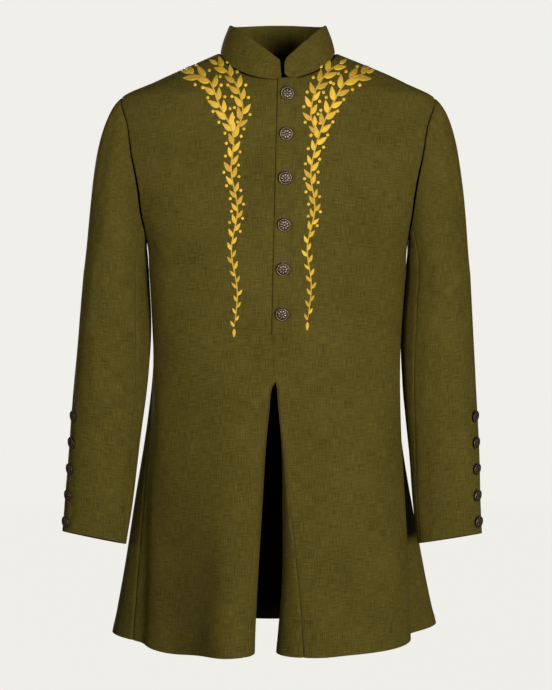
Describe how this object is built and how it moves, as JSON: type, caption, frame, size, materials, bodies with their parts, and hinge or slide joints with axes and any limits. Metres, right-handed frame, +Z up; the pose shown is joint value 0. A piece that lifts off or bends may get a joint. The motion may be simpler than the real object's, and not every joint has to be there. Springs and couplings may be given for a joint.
{
  "type": "tunic",
  "caption": "Long-sleeved linen tunic with a stand collar, a buttoned placket, buttoned cuffs and a slit flared skirt, filled out as worn.",
  "frame": {"origin": "midway between the two points where the collar meets the shoulder seams, where the wearer's shoulders and neck hold the garment", "axes": "+Z up along the body, the front faces -Y, and +X is the wearer's left"},
  "size_m": [0.637, 0.3016, 0.9539],
  "materials": {
    "linen": "matte plain-weave linen, dyed olive green, with a dry hand and no nap",
    "bronze": "cast and darkened, with rubbed bright spots"
  },
  "bodies": {
    "root": {"front_left": "linen", "front_right": "linen", "back": "linen", "sleeve_left_upper": "linen", "sleeve_left_under": "linen", "sleeve_right_upper": "linen", "sleeve_right_under": "linen", "collar": "linen", "placket_top": "linen", "placket_under": "linen", "slit_facing_left": "linen", "slit_facing_right": "linen", "button_front_1": "bronze", "button_front_2": "bronze", "button_front_3": "bronze", "button_front_4": "bronze", "button_front_5": "bronze", "button_front_6": "bronze", "button_cuff_left_1": "bronze", "button_cuff_left_2": "bronze", "button_cuff_left_3": "bronze", "button_cuff_left_4": "bronze", "button_cuff_left_5": "bronze", "button_cuff_right_1": "bronze", "button_cuff_right_2": "bronze", "button_cuff_right_3": "bronze", "button_cuff_right_4": "bronze", "button_cuff_right_5": "bronze"}
  },
  "joints": []
}
